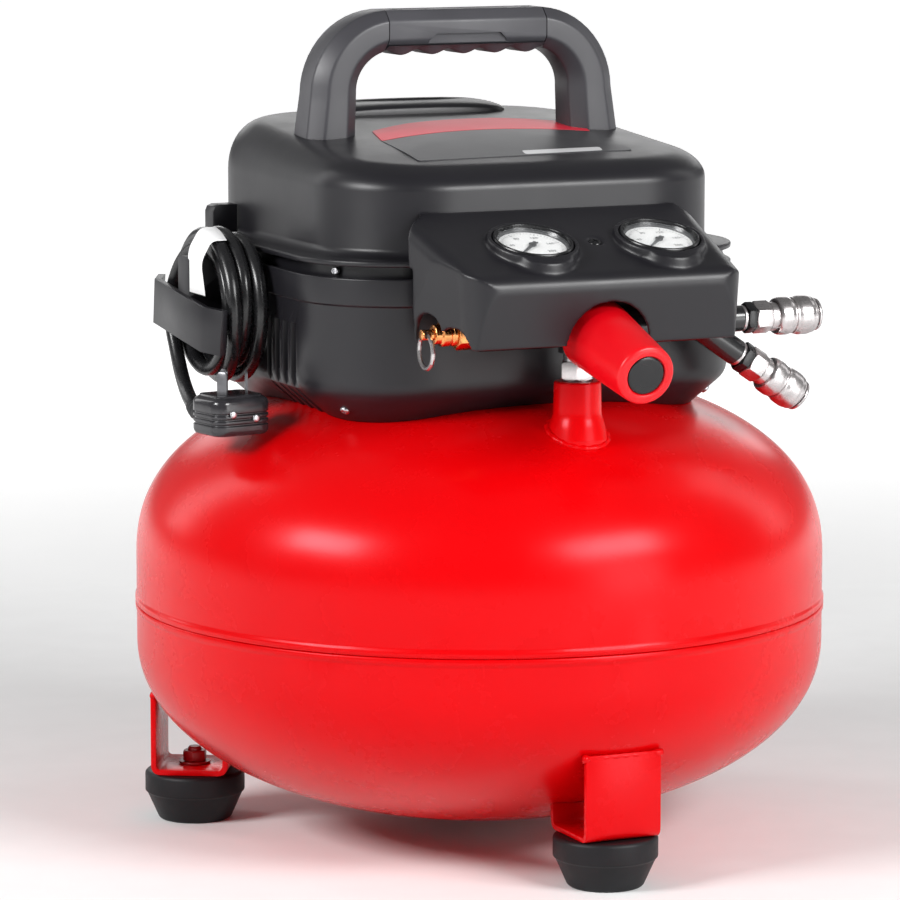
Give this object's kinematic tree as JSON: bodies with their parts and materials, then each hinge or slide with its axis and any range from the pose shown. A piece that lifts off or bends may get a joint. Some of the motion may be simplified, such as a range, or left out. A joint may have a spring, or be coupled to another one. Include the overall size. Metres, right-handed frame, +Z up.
{
  "type": "pancake air compressor",
  "caption": "Portable pancake air compressor: low round tank on rubber feet, pump shroud with carrying handle, sloped gauge console, regulator knob, quick couplers and a coiled power cord.",
  "frame": {"origin": "on the floor, under the middle of the compressor without its cord", "axes": "+Z up; -Y is the front, where the gauges and the regulator knob are; +X is to the right as seen from the front, where the air couplers are"},
  "size_m": [0.402, 0.4212, 0.478],
  "materials": {
    "red_paint": "gloss",
    "black_plastic": "satin",
    "dark_trim": "satin",
    "black_metal": "gloss",
    "grip_grey": "satin",
    "red_plastic": "satin",
    "black_rubber": "matte",
    "cord_jacket": "satin",
    "nickel": "polished",
    "zinc": "brushed",
    "brass": "polished",
    "cast_alloy": "as cast",
    "motor_iron": "painted",
    "white_face": "matte",
    "clear_lens": "clear",
    "copper": "satin"
  },
  "bodies": {
    "chassis": {"tank_lower_shell": "red_paint", "tank_upper_shell": "red_paint", "foot_bracket_front": "red_paint", "rubber_foot_front": "black_rubber", "foot_bolt_front": "red_paint", "foot_bracket_right": "red_paint", "rubber_foot_right": "black_rubber", "foot_bolt_right": "red_paint", "foot_bracket_left": "red_paint", "rubber_foot_left": "black_rubber", "foot_bolt_left": "red_paint", "drain_valve_body": "brass", "pump_frame": "cast_alloy", "cylinder": "cast_alloy", "cylinder_head": "cast_alloy", "drive_belt": "black_rubber", "motor_housing": "motor_iron", "check_valve": "brass", "transfer_tube": "copper", "pressure_switch": "dark_trim", "lower_shroud": "black_plastic", "upper_shroud": "black_plastic", "handle_frame": "black_plastic", "handle_grip_upper": "grip_grey", "handle_grip_lower": "grip_grey", "console_cover": "black_plastic", "tank_gauge_case": "dark_trim", "tank_gauge_dial": "white_face", "tank_gauge_lens": "clear_lens", "outlet_gauge_case": "dark_trim", "outlet_gauge_dial": "white_face", "outlet_gauge_lens": "clear_lens", "outlet_bung": "red_paint", "manifold_nipple": "nickel", "manifold_block": "black_metal", "regulator_body": "black_metal", "safety_valve_body": "brass", "upper_coupler_body": "nickel", "lower_coupler_body": "nickel", "cord_hook": "black_plastic", "cord_gland": "cord_jacket", "power_cord_coil": "cord_jacket", "power_cord_tail": "cord_jacket", "power_plug": "dark_trim"},
    "crank": {"crankshaft": "zinc", "flywheel_pulley": "motor_iron"},
    "con_rod": {"connecting_rod": "cast_alloy"},
    "piston_body": {"piston": "cast_alloy"},
    "rotor": {"motor_shaft": "zinc", "cooling_fan": "black_plastic"},
    "knob": {"regulator_knob": "red_plastic", "knob_cap": "black_plastic"},
    "tank_needle": {"tank_gauge_needle": "dark_trim"},
    "outlet_needle": {"outlet_gauge_needle": "dark_trim"},
    "valve_stem": {"safety_valve_stem": "brass"},
    "pull_ring": {"safety_pull_ring": "nickel"},
    "upper_sleeve": {"upper_coupler_sleeve": "nickel"},
    "lower_sleeve": {"lower_coupler_sleeve": "nickel"},
    "rocker": {"switch_rocker": "red_plastic"},
    "drain_handle": {"drain_valve_handle": "brass"}
  },
  "joints": [
    {"name": "crank_spin", "type": "hinge", "parent": "chassis", "child": "crank", "pos_m": [0, 0.04962, 0.318], "axis": [1, 0, 0], "continuous": true},
    {"name": "rod_swing", "type": "hinge", "parent": "crank", "child": "con_rod", "pos_m": [0, 0.04162, 0.318], "axis": [1, 0, 0], "continuous": true},
    {"name": "piston_slide", "type": "slide", "parent": "chassis", "child": "piston_body", "axis": [0, 1, 0], "range_m": [0, 0.016]},
    {"name": "motor_spin", "type": "hinge", "parent": "chassis", "child": "rotor", "pos_m": [0, 0.11562, 0.318], "axis": [1, 0, 0], "continuous": true},
    {"name": "regulator_turn", "type": "hinge", "parent": "chassis", "child": "knob", "pos_m": [0, -0.12138, 0.313], "axis": [0, -0.9681, -0.2504], "range_deg": [-540, 540]},
    {"name": "tank_needle_turn", "type": "hinge", "parent": "chassis", "child": "tank_needle", "pos_m": [-0.0335, -0.13438, 0.35957], "axis": [0, 0.299, -0.9542], "range_deg": [0, 270], "stiffness_Nm_per_rad": 0.0005},
    {"name": "outlet_needle_turn", "type": "hinge", "parent": "chassis", "child": "outlet_needle", "pos_m": [0.044, -0.13438, 0.35957], "axis": [0, 0.299, -0.9542], "range_deg": [0, 270], "stiffness_Nm_per_rad": 0.0005},
    {"name": "safety_valve_pull", "type": "slide", "parent": "chassis", "child": "valve_stem", "axis": [-1, 0, 0], "range_m": [0, 0.003], "stiffness_N_per_m": 1500},
    {"name": "pull_ring_swing", "type": "hinge", "parent": "valve_stem", "child": "pull_ring", "pos_m": [-0.09215, -0.12138, 0.3085], "axis": [0, 1, 0], "range_deg": [-30, 90]},
    {"name": "upper_sleeve_slide", "type": "slide", "parent": "chassis", "child": "upper_sleeve", "axis": [-1, 0, 0], "range_m": [0, 0.0035], "stiffness_N_per_m": 1200},
    {"name": "lower_sleeve_slide", "type": "slide", "parent": "chassis", "child": "lower_sleeve", "axis": [-0.8329, 0, 0.5534], "range_m": [0, 0.0035], "stiffness_N_per_m": 1200},
    {"name": "switch_rock", "type": "hinge", "parent": "chassis", "child": "rocker", "pos_m": [0, 0.14962, 0.3605], "axis": [1, 0, 0], "range_deg": [0, 12]},
    {"name": "drain_turn", "type": "hinge", "parent": "chassis", "child": "drain_handle", "pos_m": [0, 0.17762, 0.05612], "axis": [0, 0.7431, -0.6691], "range_deg": [0, 90]}
  ],
  "couplings": [
    {"joint": "rod_swing", "follows": "crank_spin", "ratio": -1},
    {"joint": "motor_spin", "follows": "crank_spin", "ratio": 3.4766}
  ]
}
